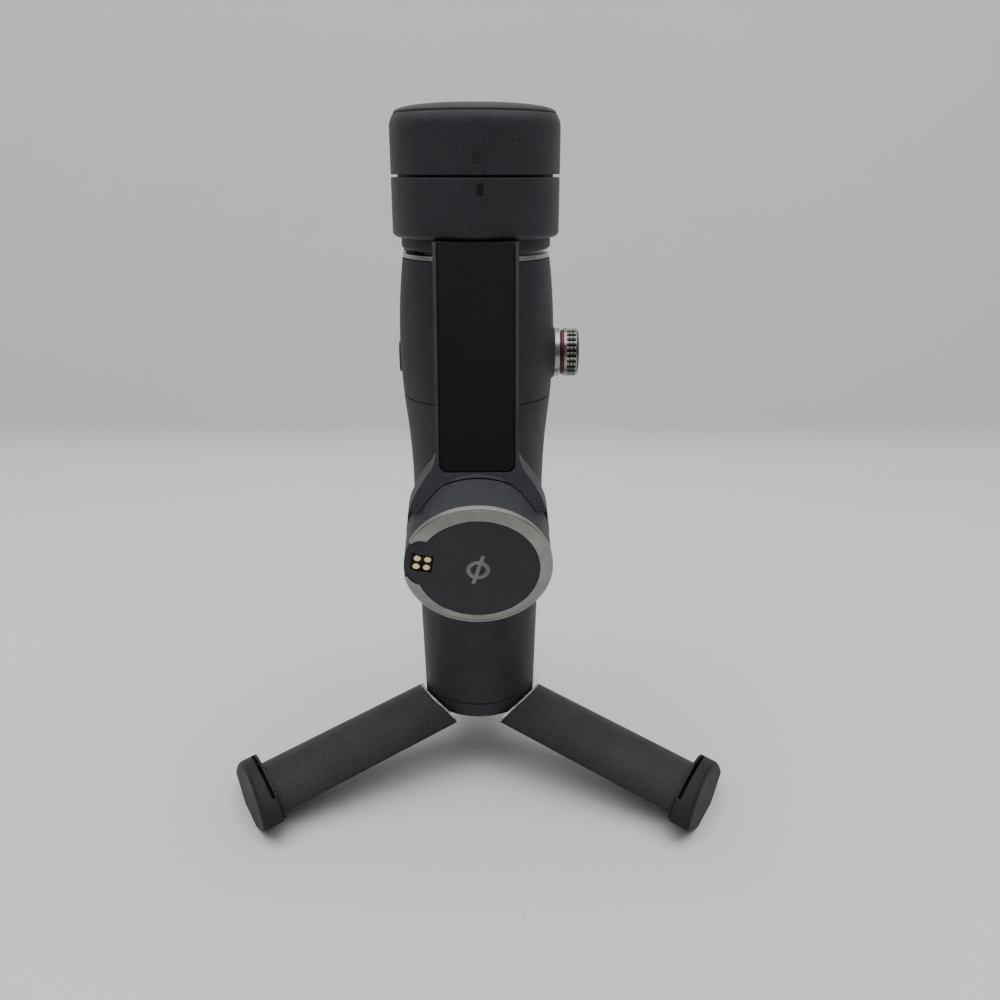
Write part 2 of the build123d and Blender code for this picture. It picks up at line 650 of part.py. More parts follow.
# ---- roll motor and phone plate -----------------------------------------------------------
def roll_rotor_shell():
    """Visible band of the roll motor with its rotor ring and shaft."""
    body = Pos(0, 0, MOTOR_SEAM[1]) * Cylinder(18.3, -1.6 - MOTOR_SEAM[1], align=BASE)
    body -= Pos(0, 0, MOTOR_SEAM[1] - 1) * Cylinder(16.6, 8.9, align=BASE)
    rotor = Cylinder(16.2, 17.7, align=BASE) - Cylinder(14.2, 17.2, align=BASE)
    body += Pos(0, 0, MOTOR_BACK + 4.1) * rotor
    body += Pos(0, 0, MOTOR_BACK + 1.6) * Cylinder(2.0, 20.3, align=BASE)
    return at_plate(body)


def roll_stator():
    """Wound stator of the roll motor."""
    return at_plate(wound_stator(4.0, 13.2, MOTOR_BACK + 3.7, MOTOR_BACK + 11.5))


def roll_bearings():
    """Two bearings of the roll motor, inside its stator."""
    return at_plate(bearing_pair(2.0, 4.0, MOTOR_BACK + 4.1, MOTOR_BACK + 9.1))


NOTCH_HALF = 5.3           # half width of the contact notch at the rim
NOTCH_ROOT = 6.9           # and where it meets the black disc


def notch_zone(gap):
    """Tab of the face plate that runs out through the ring, with curved shoulders."""
    rim, root = NOTCH_HALF + gap, NOTCH_ROOT + gap
    outline = [
        Line((12, -root), (14.6, -root)),
        ThreePointArc((14.6, -root), (16.1, -root + 0.75), (16.9, -rim)),
        Line((16.9, -rim), (21, -rim)),
        Line((21, -rim), (21, rim)),
        Line((21, rim), (16.9, rim)),
        ThreePointArc((16.9, rim), (16.1, root - 0.75), (14.6, root)),
        Line((14.6, root), (12, root)),
        Line((12, root), (12, -root)),
    ]
    return Rot(0, 0, NOTCH_ANGLE) * Pos(0, 0, -5) * extrude(make_face(outline), 10)


def plate_ring():
    """Metal ring of the phone plate, open at the contact notch."""
    body = turned([(15.3, -1.6), (PLATE_R, -1.6), (PLATE_R, -0.35), (18.25, -0.1), (17.95, -0.1),
                   (17.8, -0.25), (15.55, 0.55), (15.3, 0.45)])
    return at_plate(body - notch_zone(0.1))


def face_plate():
    """Black disc of the phone plate with the tab that carries the contacts."""
    disc = Pos(0, 0, -1.6) * Cylinder(15.2, 2.0, align=BASE)
    tab = notch_zone(0) & turned([(12, -1.6), (18.3, -1.6), (18.3, -0.6), (15.2, 0.4), (12, 0.4)])
    body = disc + tab
    body -= Rot(0, 0, NOTCH_ANGLE) * Pos(13.9, 0, -1.1) * Box(5.3, 5.3, 5, align=BASE)
    return at_plate(body)


def contact_block():
    """Insulator that carries the four contacts."""
    block = Rot(0, 0, NOTCH_ANGLE) * Pos(13.9, 0, -1.1) * Box(5.2, 5.2, 1.2, align=BASE)
    return at_plate(block) - contact_pins()


def contact_pins():
    """Four round contacts on a 2.54 mm pitch."""
    pitch = 2.54
    pins = []
    for across in (-pitch / 2, pitch / 2):
        for up in (-pitch / 2, pitch / 2):
            pin = fillet(Cylinder(0.9, 0.95, align=BASE).edges().sort_by(Axis.Z)[-1], 0.2)
            pin = Pos(13.9 + across, up, -0.6) * pin
            pins.append(at_plate(Rot(0, 0, NOTCH_ANGLE) * pin))
    return Compound(pins)


# ---- tripod legs --------------------------------------------------------------------------
SLOPE = math.radians(LEG_SLOPE)
LEG_OUT = (math.cos(SLOPE), 0, -math.sin(SLOPE))
LEG_UP = (math.sin(SLOPE), 0, math.cos(SLOPE))
LEG_PLANE = Plane(
    origin=(LEG_PIVOT[0] - LEG_PIVOT[0] * LEG_UP[0], 0, LEG_PIVOT[1] - LEG_PIVOT[0] * LEG_UP[2]),
    x_dir=(0, 1, 0),
    z_dir=LEG_OUT,
)


def leg_section(outer, inner, half_angle, inset, rounding):
    """Sector of a ring, its two flat sides moved inward by an inset."""
    lean = math.radians(half_angle)
    apex = inset / math.sin(lean)
    reach = 40.0
    side = (reach * math.sin(lean), apex + reach * math.cos(lean))
    wedge = make_face(Polyline((0, apex), side, (0, reach * 2), (-side[0], side[1]), close=True))
    section = (Circle(outer) - Circle(inner)) & wedge
    return fillet(section.vertices(), rounding) if rounding else section


def leg_block(section, start, end):
    """Piece of a leg between two stations along it."""
    return Pos(0, 0, start) * extrude(section, end - start)


def leg_shell(azimuth):
    """Leg body: a third of the bundle, its inner end scooped out to wrap the handle."""
    section = leg_section(LEG_R, 8.8, LEG_HALF_ANGLE, 0.1, 0.9)
    body = LEG_PLANE.location * leg_block(section, LEG_START, FOOT_START - 0.05)
    return Rot(0, 0, azimuth) * (body - ring(SADDLE_R + LINING + 0.05, 0, SADDLE_FLOOR, 60))


def leg_bracket(azimuth):
    """Metal bracket: knuckle on the hinge pin and the bright rim of the leg's saddle."""
    section = leg_section(LEG_R - 0.05, 9.0, LEG_HALF_ANGLE - 3, 0.1, 0)
    rim = LEG_PLANE.location * leg_block(section, LEG_START, 16.0)
    rim &= ring(SADDLE_R + LINING, SADDLE_R, SADDLE_FLOOR + 0.05, 60)
    arm = LEG_PLANE.location * (Pos(0, 11.5, 0) * Box(6.0, 3.4, 12.0, align=BASE))
    arm &= ring(SADDLE_R + LINING, 0, SADDLE_FLOOR + 0.05, 60)
    radius, height = LEG_PIVOT
    axis = Plane(origin=(radius, 0, height), x_dir=(1, 0, 0), z_dir=(0, 1, 0)).location
    body = rim + arm + axis * Cylinder(2.6, 6.0)
    return Rot(0, 0, azimuth) * (body - axis * Cylinder(1.2 + RUNNING, 20))


def leg_foot(azimuth):
    """Foot cap, proud of the leg, with a finger slot at its crown and upright faces when opened."""
    inner_face, outer_face = FOOT_FACES
    body = LEG_PLANE.location * leg_block(leg_section(FOOT_R, 4.0, 60, 0.3, 0), FOOT_START, 72)
    body &= slab(0, outer_face, -60, 60, -60, 60)
    rim = body.faces().sort_by(Axis.X)[-1].edges().sort_by(SortBy.LENGTH)[-1]
    body = fillet(rim, 1.8)
    lip = Pos(0, 0, FOOT_START - 1) * (Cylinder(30, 9, align=BASE) - Cylinder(LEG_R, 9, align=BASE))
    body -= LEG_PLANE.location * lip & slab(0, inner_face, -60, 60, -60, 60)
    slot = leg_section(FOOT_R + 1, LEG_R - 2.2, 38, 0, 0)
    body -= LEG_PLANE.location * leg_block(slot, FOOT_START + 0.7, FOOT_START + 1.7)
    body -= slab(0, 120, -60, 60, FLOOR_Z - 30, FLOOR_Z)
    return Rot(0, 0, azimuth) * body


# ---- write every node ---------------------------------------------------------------------
NODES = {
    "grip_sleeve": grip_sleeve,
    "upper_shell": upper_shell,
    "bottom_collar": bottom_collar,
    "control_panel": control_panel,
    "status_window": status_window,
    "record_button": lambda: panel_button(BUTTON_X),
    "switch_button": lambda: panel_button(-BUTTON_X),
    "power_button": power_button,
    "trigger": trigger,
    "trigger_pin": lambda: TRIGGER_PIN,
    "tripod_hub": tripod_hub,
    "leg_hinge_pins": leg_hinge_pins,
    "hub_screws": hub_screws,
    "socket_insert": socket_insert,
    "rod_guide": rod_guide,
    "rod_stage_outer": lambda: rod_stage(1),
    "rod_stage_middle": lambda: rod_stage(2),
    "rod_stage_inner": lambda: rod_stage(3),
    "battery_cells": battery_cells,
    "main_board": main_board,
    "usb_port": usb_port,
    "wheel_boss": wheel_boss,
    "wheel_bush": wheel_bush,
    "wheel_accent_ring": wheel_accent_ring,
    "wheel_dial": wheel_dial,
    "stick_base": stick_base,
    "stick_yoke": stick_yoke,
    "stick_post": stick_post,
    "stick_cap": stick_cap,
    "pan_motor_cup": pan_motor_cup,
    "pan_stator": lambda: wound_stator(5.0, 13.0, 124.4, 134.6),
    "pan_bearings": lambda: bearing_pair(2.5, 5.0, 125.0, 131.5),
}

# These turn with the stored head, so they stand off the handle's front by STOW_TURN.
STOWED_NODES = {
    "pan_rotor_bell": pan_rotor_bell,
    "pan_top_cap": pan_top_cap,
    "fold_hinge_pin": fold_hinge_pin,
    "fold_bracket": fold_bracket,
    "tilt_upper_housing": tilt_upper_housing,
    "tilt_lid": tilt_lid,
    "tilt_stator": lambda: wound_stator(7.0, 14.4, 150.2, 157.8),
    "tilt_bearings": lambda: bearing_pair(2.5, 5.0, 151.0, 159.0),
    "tilt_lower_housing": tilt_lower_housing,
    "tilt_rotor_bell": tilt_rotor_bell,
    "arm_frame": arm_frame,
    "arm_panel": arm_panel,
    "roll_stator": roll_stator,
    "roll_bearings": roll_bearings,
    "roll_rotor_shell": roll_rotor_shell,
    "plate_ring": plate_ring,
    "face_plate": face_plate,
    "contact_block": contact_block,
    "contact_pins": contact_pins,
}

for node, build in NODES.items():
    save(node, build())
for node, build in STOWED_NODES.items():
    save(node, Rot(0, 0, STOW_TURN) * build())

for side_name, side_azimuth in LEG_AZIMUTHS.items():
    save(f"leg_{side_name}_shell", leg_shell(side_azimuth))
    save(f"leg_{side_name}_bracket", leg_bracket(side_azimuth))
    save(f"leg_{side_name}_foot", leg_foot(side_azimuth))
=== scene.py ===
"""Looks of the folding phone gimbal: materials, small trim, a pale sweep, soft light and the camera."""
import json
import math

import bmesh
import bpy
from mathutils import Matrix, Vector


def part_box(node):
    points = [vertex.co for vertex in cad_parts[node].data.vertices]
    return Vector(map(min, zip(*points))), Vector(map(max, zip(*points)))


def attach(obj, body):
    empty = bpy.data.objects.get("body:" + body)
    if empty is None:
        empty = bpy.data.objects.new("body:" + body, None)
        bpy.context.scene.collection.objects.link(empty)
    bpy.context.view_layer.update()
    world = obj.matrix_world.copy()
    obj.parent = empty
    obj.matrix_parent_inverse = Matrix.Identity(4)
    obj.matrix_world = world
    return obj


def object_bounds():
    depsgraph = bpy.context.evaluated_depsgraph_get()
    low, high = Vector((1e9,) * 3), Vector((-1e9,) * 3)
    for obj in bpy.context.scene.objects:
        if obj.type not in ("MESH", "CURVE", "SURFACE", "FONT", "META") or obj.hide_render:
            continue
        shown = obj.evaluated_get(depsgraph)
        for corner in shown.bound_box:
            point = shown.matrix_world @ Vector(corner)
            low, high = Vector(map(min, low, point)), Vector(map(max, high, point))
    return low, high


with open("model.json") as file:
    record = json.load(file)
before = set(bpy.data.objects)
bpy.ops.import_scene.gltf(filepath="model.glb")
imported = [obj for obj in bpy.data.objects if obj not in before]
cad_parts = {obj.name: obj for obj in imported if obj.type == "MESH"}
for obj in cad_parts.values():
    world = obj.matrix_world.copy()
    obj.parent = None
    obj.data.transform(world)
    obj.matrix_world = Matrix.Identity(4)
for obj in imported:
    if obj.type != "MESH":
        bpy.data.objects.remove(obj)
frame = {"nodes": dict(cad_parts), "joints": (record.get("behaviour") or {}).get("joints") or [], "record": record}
CAD_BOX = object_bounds()
NODES = frame["nodes"]
MM = 0.001

FLOOR_Z = CAD_BOX[0][2]
FLOOR_NEAR_Y = -1.1
WALL_Y = 0.315
WALL_TOP = 1.3
SWEEP_HALF_WIDTH = 1.5
SWEEP_RADIUS = 0.025
SWEEP_STEPS = 16

CAMERA_PLACE = (6.72 * MM, -261.1 * MM, 163.1 * MM)
CAMERA_PITCH_DOWN = 20.16
CAMERA_LENS = 32.4
SENSOR_WIDTH = 36.0

# The printed mark on the phone plate, and how proud of its surface each print stands.
MARK_TURN = 74
MARK_RING_RADIUS = 2.4 * MM
MARK_HALF_BAR = 4.7 * MM
MARK_HEIGHT = 0.03 * MM
MARK_LIFT = 0.002 * MM
BUTTON_PRINT_SINK = 0.005 * MM

# The status window follows the handle's curve; this is half of its curvature, in 1/m.
WINDOW_HALF_CURVATURE = 23
LAMP_SINK = 0.02 * MM


# ---- materials ----------------------------------------------------------------------------
class Surface:
    """A node material under construction, with short helpers for its textures."""

    def __init__(self, name):
        self.material = bpy.data.materials.new(name)
        self.material.use_nodes = True
        self.tree = self.material.node_tree
        self.shader = self.tree.nodes["Principled BSDF"]
        self.place = self.add("ShaderNodeTexCoord").outputs["Object"]

    def add(self, kind, **settings):
        node = self.tree.nodes.new(kind)
        for key, value in settings.items():
            setattr(node, key, value)
        return node

    def link(self, source, target):
        self.tree.links.new(source, target)

    def noise(self, size, detail=3.0, rough=0.5, stretch=(1, 1, 1)):
        """Noise whose features are about size metres across."""
        mapping = self.add("ShaderNodeMapping")
        mapping.inputs["Scale"].default_value = stretch
        self.link(self.place, mapping.inputs["Vector"])
        node = self.add("ShaderNodeTexNoise")
        node.inputs["Scale"].default_value = 1.0 / size
        node.inputs["Detail"].default_value = detail
        node.inputs["Roughness"].default_value = rough
        self.link(mapping.outputs["Vector"], node.inputs["Vector"])
        return node.outputs["Fac"]

    def cells(self, size):
        """Distance inside small rounded cells, for a moulded grain."""
        node = self.add("ShaderNodeTexVoronoi", feature="SMOOTH_F1")
        node.inputs["Scale"].default_value = 1.0 / size
        self.link(self.place, node.inputs["Vector"])
        return node.outputs["Distance"]

    def span(self, source, low, high, out_low, out_high):
        """Map a value from one range to another."""
        node = self.add("ShaderNodeMapRange", clamp=True)
        sockets = ("From Min", "From Max", "To Min", "To Max")
        for socket, value in zip(sockets, (low, high, out_low, out_high)):
            node.inputs[socket].default_value = value
        self.link(source, node.inputs["Value"])
        return node.outputs["Result"]

    def product(self, first, second):
        node = self.add("ShaderNodeMath", operation="MULTIPLY")
        self.link(first, node.inputs[0])
        self.link(second, node.inputs[1])
        return node.outputs[0]

    def from_x_line(self, point):
        """Distance from the line along X through a point."""
        offset = self.add("ShaderNodeVectorMath", operation="SUBTRACT")
        self.link(self.place, offset.inputs[0])
        offset.inputs[1].default_value = point
        flat = self.add("ShaderNodeVectorMath", operation="MULTIPLY")
        self.link(offset.outputs["Vector"], flat.inputs[0])
        flat.inputs[1].default_value = (0, 1, 1)
        length = self.add("ShaderNodeVectorMath", operation="LENGTH")
        self.link(flat.outputs["Vector"], length.inputs[0])
        return length.outputs["Value"]

    def edges(self, radius):
        """Mask that is 1 along sharp edges, and the normal that softens those edges."""
        bevel = self.add("ShaderNodeBevel", samples=4)
        bevel.inputs["Radius"].default_value = radius
        dot = self.add("ShaderNodeVectorMath", operation="DOT_PRODUCT")
        self.link(bevel.outputs["Normal"], dot.inputs[0])
        self.link(self.add("ShaderNodeNewGeometry").outputs["Normal"], dot.inputs[1])
        return self.span(dot.outputs["Value"], 0.995, 0.86, 0.0, 1.0), bevel.outputs["Normal"]

    def blend(self, factor, first, second):
        """Mix two colours or colour outputs by a factor."""
        node = self.add("ShaderNodeMix", data_type="RGBA")
        self.link(factor, node.inputs["Factor"])
        for socket, value in ((node.inputs[6], first), (node.inputs[7], second)):
            if isinstance(value, bpy.types.NodeSocket):
                self.link(value, socket)
            else:
                socket.default_value = (*value, 1.0)
        return node.outputs[2]

    def bump(self, height, depth, strength=1.0, below=None):
        node = self.add("ShaderNodeBump")
        node.inputs["Strength"].default_value = strength
        node.inputs["Distance"].default_value = depth
        self.link(height, node.inputs["Height"])
        if below is not None:
            self.link(below, node.inputs["Normal"])
        return node.outputs["Normal"]


def scaled(colour, factor):
    return tuple(channel * factor for channel in colour)


def moulded(name, colour, rough, grain, depth, wear=0.5, dust=0.0, shine=0.32):
    """Moulded plastic: pebbled grain, flecks, faint mottling, lighter along worn edges."""
    s = Surface(name)
    mottle = s.noise(9 * MM, detail=5, rough=0.6)
    cloud = s.span(mottle, 0.35, 0.68, 0, 1)
    dark = s.blend(cloud, scaled(colour, 0.66), scaled(colour, 0.86))
    light = s.blend(cloud, scaled(colour, 1.1), scaled(colour, 1.42))
    tone = s.blend(s.span(s.noise(grain * 1.5, detail=1), 0.32, 0.68, 0, 1), dark, light)
    rim, soft = s.edges(0.35 * MM)
    worn = s.product(rim, s.span(s.noise(2.2 * MM, detail=4), 0.42, 0.66, 0.15 * wear, wear))
    tone = s.blend(worn, tone, scaled(colour, 2.6))
    if dust:
        patch = s.span(mottle, 0.5, 0.7, 0.0, dust)
        specks = s.product(s.span(s.noise(0.5 * MM, detail=2), 0.7, 0.78, 0, 1), patch)
        tone = s.blend(specks, tone, (0.42, 0.41, 0.39))
    s.link(tone, s.shader.inputs["Base Color"])
    smear = s.noise(14 * MM, detail=6, rough=0.62, stretch=(1, 1, 0.45))
    s.link(s.span(smear, 0.3, 0.7, rough - 0.06, rough + 0.07), s.shader.inputs["Roughness"])
    fine = s.bump(s.noise(grain * 0.6, detail=2), depth * 0.5, 0.5, below=soft)
    s.link(s.bump(s.cells(grain), depth, 0.8, below=fine), s.shader.inputs["Normal"])
    s.shader.inputs["Specular IOR Level"].default_value = shine
    return s.material


def wheel_axis():
    """Middle of the dial in its own mesh: the dial turns about the X line through it."""
    points = [vertex.co for vertex in NODES["wheel_dial"].data.vertices]
    return [(min(p[i] for p in points) + max(p[i] for p in points)) / 2 for i in range(3)]


def machined(name, colour, rough, streak, wear=0.4, metallic=1.0, stretch=(1, 1, 12), knurl_shade=None):
    """Turned or brushed metal with fine streaks, faint stains and bright edges.

    For a knurl given as (axis point, root radius, crest radius) about X, painted shade darkens the colour from the
    crest down to near black at the root.
    """
    s = Surface(name)
    stain = s.noise(6 * MM, detail=5, rough=0.6)
    tone = s.blend(s.span(stain, 0.35, 0.7, 0, 1), scaled(colour, 0.86), scaled(colour, 1.08))
    rim, soft = s.edges(0.2 * MM)
    worn = s.product(rim, s.span(s.noise(1.2 * MM), 0.35, 0.6, 0.0, wear))
    bright = tuple(min(0.95, channel * 1.5 + 0.08) for channel in colour)
    tone = s.blend(worn, tone, bright)
    if knurl_shade:
        axis, root, crest = knurl_shade
        # Painted shade in the knurl dimples: near black at the root radius, fading out by the crest radius.
        tone = s.blend(s.span(s.from_x_line(axis), root, crest, 0, 1), scaled(colour, 0.1), tone)
    s.link(tone, s.shader.inputs["Base Color"])
    lines = s.noise(streak, detail=3, stretch=stretch)
    s.link(s.span(lines, 0.3, 0.7, rough - 0.07, rough + 0.09), s.shader.inputs["Roughness"])
    s.link(s.bump(lines, 0.012 * MM, 0.5, below=soft), s.shader.inputs["Normal"])
    s.shader.inputs["Metallic"].default_value = metallic
    return s.material


def glossy(name, colour, rough=0.16, coat=0.6):
    """Glossy moulded plastic with fine wipe marks under a clear coat."""
    s = Surface(name)
    wipe = s.noise(5 * MM, detail=6, rough=0.65, stretch=(1, 1, 0.3))
    tone = s.blend(s.span(wipe, 0.3, 0.7, 0, 1), scaled(colour, 0.85), scaled(colour, 1.2))
    s.link(tone, s.shader.inputs["Base Color"])
    s.link(s.span(wipe, 0.35, 0.65, rough - 0.05, rough + 0.08), s.shader.inputs["Roughness"])
    s.link(s.bump(s.noise(0.8 * MM, detail=2), 0.01 * MM, 0.3), s.shader.inputs["Normal"])
    s.shader.inputs["Coat Weight"].default_value = coat
    return s.material


def paper(name, colour):
    """Pale matte paper of the sweep, with a soft grain and a few specks of dirt."""
    s = Surface(name)
    cloud = s.noise(0.22, detail=4, rough=0.5)
    tone = s.blend(s.span(cloud, 0.3, 0.7, 0, 1), scaled(colour, 0.98), scaled(colour, 1.02))
    dirt = s.span(s.noise(4 * MM, detail=1), 0.83, 0.86, 0.0, 0.6)
    s.link(s.blend(dirt, tone, (0.16, 0.15, 0.14)), s.shader.inputs["Base Color"])
    s.link(s.bump(s.noise(0.6 * MM, detail=3), 0.03 * MM, 0.35), s.shader.inputs["Normal"])
    s.shader.inputs["Roughness"].default_value = 0.85
    return s.material


SHELL = (0.0255, 0.026, 0.031)
MATERIALS = {
    "shell": moulded("shell_plastic", SHELL, 0.54, 0.34 * MM, 0.06 * MM, wear=0.4, dust=0.12, shine=0.27),
    "head": moulded("head_plastic", scaled(SHELL, 0.95), 0.5, 0.28 * MM, 0.04 * MM, wear=0.5, shine=0.31),
    "leg": moulded("leg_plastic", scaled(SHELL, 0.8), 0.56, 0.42 * MM, 0.12 * MM, wear=0.4, dust=0.15,
                   shine=0.28),
    "foot": moulded("foot_rubber", scaled(SHELL, 0.55), 0.6, 0.3 * MM, 0.04 * MM, wear=0.6, dust=0.3,
                    shine=0.25),
    "panel": moulded("arm_panel_plastic", (0.0045, 0.0046, 0.0055), 0.55, 0.3 * MM, 0.02 * MM, wear=0.2,
                     shine=0.12),
    "face": moulded("face_plate_plastic", (0.0125, 0.0125, 0.016), 0.48, 0.2 * MM, 0.014 * MM, wear=0.3,
                    dust=0.1),
    "control": moulded("control_plastic", (0.02, 0.022, 0.027), 0.42, 0.24 * MM, 0.018 * MM, wear=0.3),
    "button": moulded("button_plastic", (0.03, 0.032, 0.038), 0.38, 0.2 * MM, 0.012 * MM, wear=0.5),
    "inner": moulded("inner_plastic", (0.03, 0.03, 0.034), 0.5, 0.4 * MM, 0.03 * MM, wear=0.2),
    "ring": machined("ring_metal", (0.29, 0.285, 0.27), 0.42, 0.5 * MM, wear=0.7, stretch=(1, 1, 1)),
    "bright": machined("bright_metal", (0.36, 0.355, 0.35), 0.24, 0.4 * MM, wear=0.5),
    "wheel": machined("wheel_metal", (0.34, 0.335, 0.335), 0.26, 0.3 * MM, wear=0.9, stretch=(12, 1, 1)),
    "dial": machined("dial_metal", (0.27, 0.265, 0.26), 0.24, 0.3 * MM, wear=0.9, stretch=(12, 1, 1),
                     knurl_shade=(wheel_axis(), 6.4 * MM, 6.85 * MM)),
    "red": machined("accent_red", (0.17, 0.02, 0.025), 0.36, 0.4 * MM, wear=0.3, metallic=0.7),
    "gold": machined("contact_gold", (0.86, 0.66, 0.34), 0.24, 0.3 * MM, wear=0.3, stretch=(1, 1, 1)),
    "steel": machined("ground_steel", (0.5, 0.5, 0.51), 0.3, 0.4 * MM),
    "rod": machined("rod_anodised", (0.17, 0.17, 0.18), 0.34, 0.35 * MM, wear=0.3),
    "copper": machined("enamelled_copper", (0.5, 0.2, 0.08), 0.3, 0.25 * MM, stretch=(1, 1, 6)),
    "battery": glossy("battery_wrap", (0.05, 0.16, 0.28)),
    "board": glossy("solder_mask", (0.01, 0.09, 0.035), 0.3),
    "window": glossy("window_gloss", (0.008, 0.008, 0.01), 0.09, 1.0),
    "print": moulded("printed_grey", (0.24, 0.24, 0.25), 0.5, 0.2 * MM, 0.008 * MM, wear=0.0),
    "lamp": glossy("lamp_lens", (0.30, 0.42, 0.33), 0.18),
    "record": moulded("record_red", (0.42, 0.03, 0.025), 0.42, 0.2 * MM, 0.008 * MM, wear=0.0),
}

LOOK_OF_NODES = {
    "shell": ["grip_sleeve", "upper_shell", "bottom_collar", "arm_frame", "roll_rotor_shell",
              "fold_bracket"],
    "head": ["tilt_upper_housing", "tilt_lower_housing", "tilt_lid"],
    "leg": ["leg_left_shell", "leg_right_shell", "leg_back_shell"],
    "foot": ["leg_left_foot", "leg_right_foot", "leg_back_foot"],
    "panel": ["arm_panel", "contact_block"],
    "face": ["face_plate"],
    "control": ["control_panel", "stick_base", "stick_yoke", "stick_post", "wheel_bush"],
    "button": ["stick_cap", "record_button", "switch_button", "power_button", "trigger"],
    "inner": ["tripod_hub"],
    "ring": ["plate_ring"],
    "bright": ["pan_top_cap", "leg_left_bracket", "leg_right_bracket", "leg_back_bracket"],
    "wheel": ["wheel_boss"],
    "dial": ["wheel_dial"],
    "red": ["wheel_accent_ring"],
    "gold": ["contact_pins", "socket_insert"],
    "steel": ["leg_hinge_pins", "hub_screws", "fold_hinge_pin", "trigger_pin", "pan_bearings",
              "tilt_bearings", "roll_bearings", "usb_port", "tilt_rotor_bell", "pan_rotor_bell"],
    "rod": ["rod_guide", "rod_stage_outer", "rod_stage_middle", "rod_stage_inner", "pan_motor_cup"],
    "copper": ["pan_stator", "tilt_stator", "roll_stator"],
    "battery": ["battery_cells"],
    "board": ["main_board"],
    "window": ["status_window"],
}
for look, names in LOOK_OF_NODES.items():
    for node in names:
        NODES[node].data.materials.clear()
        NODES[node].data.materials.append(MATERIALS[look])


# ---- small pieces -------------------------------------------------------------------------
def add_mesh(name, mesh_builder, look, body, place):
    """Make a smooth object from a bmesh, place it, give it a look and hang it on its body."""
    mesh = bpy.data.meshes.new(name)
    mesh_builder.transform(place)
    bmesh.ops.recalc_face_normals(mesh_builder, faces=mesh_builder.faces)
    mesh_builder.to_mesh(mesh)
    mesh_builder.free()
    for polygon in mesh.polygons:
        polygon.use_smooth = True
    mesh.materials.append(MATERIALS[look])
    piece = bpy.data.objects.new(name, mesh)
    bpy.context.scene.collection.objects.link(piece)
    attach(piece, body)
    return piece


def swept(path, section, closed_path=True):
    """Sweep a closed section of (across, up) points along a flat path in the XY plane."""
    mesh = bmesh.new()
    count = len(path)
    rings = []
    for index, point in enumerate(path):
        before = path[index - 1] if closed_path or index else point
        after = path[(index + 1) % count] if closed_path or index < count - 1 else point
        along = (Vector(after) - Vector(before)).normalized()
        across = Vector((along.y, -along.x))
        corners = [(point[0] + across.x * a, point[1] + across.y * a, b) for a, b in section]
        rings.append([mesh.verts.new(corner) for corner in corners])
    pairs = count if closed_path else count - 1
    size = len(section)
    for index in range(pairs):
        first, second = rings[index], rings[(index + 1) % count]
        for corner in range(size):
            turn = (corner + 1) % size
            mesh.faces.new((first[corner], first[turn], second[turn], second[corner]))
    if not closed_path:
        mesh.faces.new(rings[0])
        mesh.faces.new(list(reversed(rings[-1])))
    return mesh


def bead(width, height, steps=6):
    """Half-round section of the given width and height, standing on a flat base."""
    points = []
    for step in range(steps + 1):
        angle = math.pi * step / steps
        points.append((math.cos(angle) * width / 2, math.sin(angle) * height))
    return points


def circle_path(radius, count=64, centre=(0.0, 0.0)):
    path = []
    for step in range(count):
        angle = 2 * math.pi * step / count
        path.append((centre[0] + radius * math.cos(angle), centre[1] + radius * math.sin(angle)))
    return path


def domed_disc(radius, height, rings=5, segments=40):
    """Shallow dome that stands on a flat base."""
    mesh = bmesh.new()
    levels = []
    for level in range(rings):
        lean = math.pi / 2 * level / rings
        spread, rise = radius * math.cos(lean), height * math.sin(lean)
        loop = []
        for step in range(segments):
            turn = 2 * math.pi * step / segments
            loop.append(mesh.verts.new((spread * math.cos(turn), spread * math.sin(turn), rise)))
        levels.append(loop)
    for lower, upper in zip(levels, levels[1:]):
        for step in range(segments):
            turn = (step + 1) % segments
            mesh.faces.new((lower[step], lower[turn], upper[turn], upper[step]))
    tip = mesh.verts.new((0, 0, height))
    for step in range(segments):
        mesh.faces.new((levels[-1][step], levels[-1][(step + 1) % segments], tip))
    mesh.faces.new(list(reversed(levels[0])))
    return mesh


def facing(origin, normal, up):
    """Matrix that sends local Z to a normal and local Y as near as possible to up."""
    z = Vector(normal).normalized()
    x = Vector(up).cross(z).normalized()
    y = z.cross(x)
    return Matrix.Translation(Vector(origin)) @ Matrix((x, y, z)).transposed().to_4x4()


def plate_mark():
    """Generic mark printed on the phone plate: a ring with a slanted bar through it."""
    joint = next(j for j in frame["joints"] if j["name"] == "roll_turn")
    mount = next(m for m in frame["record"]["mounts"] if m["name"] == "phone_plate")
    turn = Matrix.Rotation(math.radians(MARK_TURN), 4, "Z")
    place = facing(mount["pos_m"], mount["axis"], (0, 0, 1)) @ turn
    ring = swept(circle_path(MARK_RING_RADIUS), bead(1.1 * MM, MARK_HEIGHT))
    ends = [(-MARK_HALF_BAR, 0), (MARK_HALF_BAR, 0)]
    bar = swept(ends, bead(1.0 * MM, MARK_HEIGHT), closed_path=False)
    lifted = place @ Matrix.Translation((0, 0, MARK_LIFT))
    add_mesh("plate_mark_ring", ring, "print", joint["child"], lifted)
    add_mesh("plate_mark_bar", bar, "print", joint["child"], lifted)


def status_lamps():
    """Four small lamp lenses under the edge of the status window."""
    low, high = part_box("status_window")
    middle = [(low[i] + high[i]) / 2 for i in range(3)]
    gap = (high[0] - low[0]) / 5
    for index in range(4):
        x = low[0] + gap * (index + 1)
        y = high[1] - LAMP_SINK - (x - middle[0]) ** 2 * WINDOW_HALF_CURVATURE
        place = facing((x, y, middle[2]), (0, 1, 0), (0, 0, 1))
        lens = domed_disc(0.4 * MM, 0.05 * MM)
        add_mesh(f"status_lamp_{index + 1}", lens, "lamp", "handle", place)


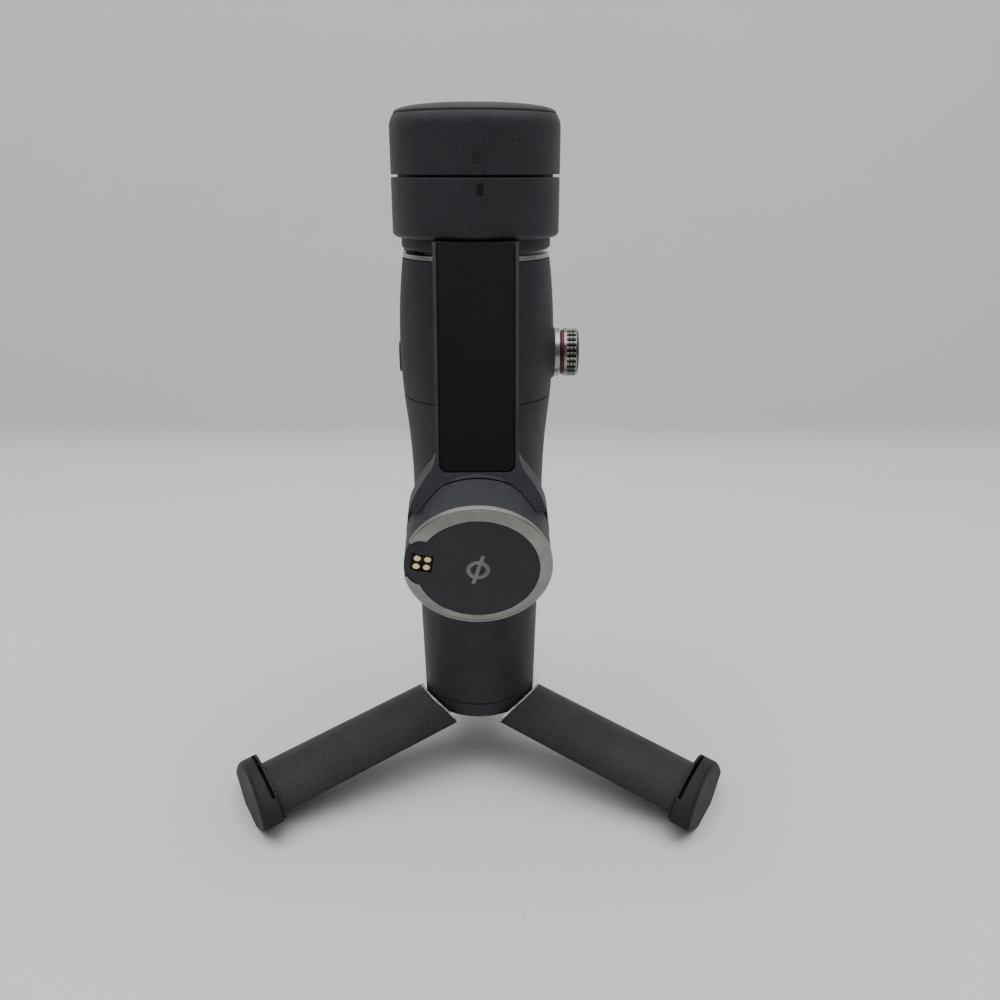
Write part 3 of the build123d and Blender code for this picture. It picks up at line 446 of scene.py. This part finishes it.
def back_face_of(name):
    """Matrix at the middle of a piece's back (+Y) face, with local Z pointing out of it."""
    low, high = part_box(name)
    middle = ((low[0] + high[0]) / 2, high[1] - BUTTON_PRINT_SINK, (low[2] + high[2]) / 2)
    return facing(middle, (0, 1, 0), (0, 0, 1))


def button_marks():
    """Printed dot and ring on the two panel buttons."""
    dot = domed_disc(0.9 * MM, 0.06 * MM)
    add_mesh("record_dot", dot, "record", "record_button", back_face_of("record_button"))
    ring = swept(circle_path(0.85 * MM, 40), bead(0.3 * MM, 0.04 * MM))
    add_mesh("switch_ring", ring, "print", "switch_button", back_face_of("switch_button"))


plate_mark()
status_lamps()
button_marks()


# ---- sweep, light and camera --------------------------------------------------------------
def build_sweep():
    """Floor that curves up into a wall behind the object."""
    profile = [(FLOOR_NEAR_Y, FLOOR_Z)]
    for step in range(SWEEP_STEPS + 1):
        angle = math.pi / 2 * step / SWEEP_STEPS
        y = WALL_Y - SWEEP_RADIUS + SWEEP_RADIUS * math.sin(angle)
        profile.append((y, FLOOR_Z + SWEEP_RADIUS * (1 - math.cos(angle))))
    profile.append((WALL_Y, WALL_TOP))
    mesh = bmesh.new()
    left = [mesh.verts.new((-SWEEP_HALF_WIDTH, y, z)) for y, z in profile]
    right = [mesh.verts.new((SWEEP_HALF_WIDTH, y, z)) for y, z in profile]
    for index in range(len(profile) - 1):
        mesh.faces.new((left[index], right[index], right[index + 1], left[index + 1]))
    data = bpy.data.meshes.new("sweep")
    mesh.to_mesh(data)
    mesh.free()
    for polygon in data.polygons:
        polygon.use_smooth = True
    data.materials.append(paper("sweep_paper", (0.69, 0.705, 0.695)))
    sweep = bpy.data.objects.new("sweep", data)
    bpy.context.scene.collection.objects.link(sweep)


def area_light(name, size, power, location, target, colour=(1, 1, 1)):
    """Rectangular soft light aimed at a point."""
    data = bpy.data.lights.new(name, "AREA")
    data.shape = "RECTANGLE"
    data.size, data.size_y = size
    data.energy = power
    data.color = colour
    light = bpy.data.objects.new(name, data)
    light.location = location
    aim = Vector(target) - Vector(location)
    light.rotation_euler = aim.to_track_quat("-Z", "Y").to_euler()
    bpy.context.scene.collection.objects.link(light)


def build_camera():
    """Camera in front of the object, a little above its head and pitched down."""
    data = bpy.data.cameras.new("camera")
    data.lens = CAMERA_LENS
    data.sensor_width = SENSOR_WIDTH
    camera = bpy.data.objects.new("camera", data)
    camera.location = CAMERA_PLACE
    camera.rotation_euler = (math.radians(90 - CAMERA_PITCH_DOWN), 0, 0)
    bpy.context.scene.collection.objects.link(camera)
    bpy.context.scene.camera = camera


build_sweep()
area_light("overhead", (1.7, 1.2), 18.0, (0.0, 0.02, 0.85), (0, 0.02, 0))
area_light("front_fill", (0.9, 0.6), 0.2, (-0.25, -0.8, 0.5), (0, 0, 0.05), (0.97, 0.98, 1.0))
build_camera()

world = bpy.data.worlds.new("studio")
world.use_nodes = True
world.node_tree.nodes["Background"].inputs["Color"].default_value = (0.82, 0.83, 0.86, 1)
world.node_tree.nodes["Background"].inputs["Strength"].default_value = 0.2
bpy.context.scene.world = world
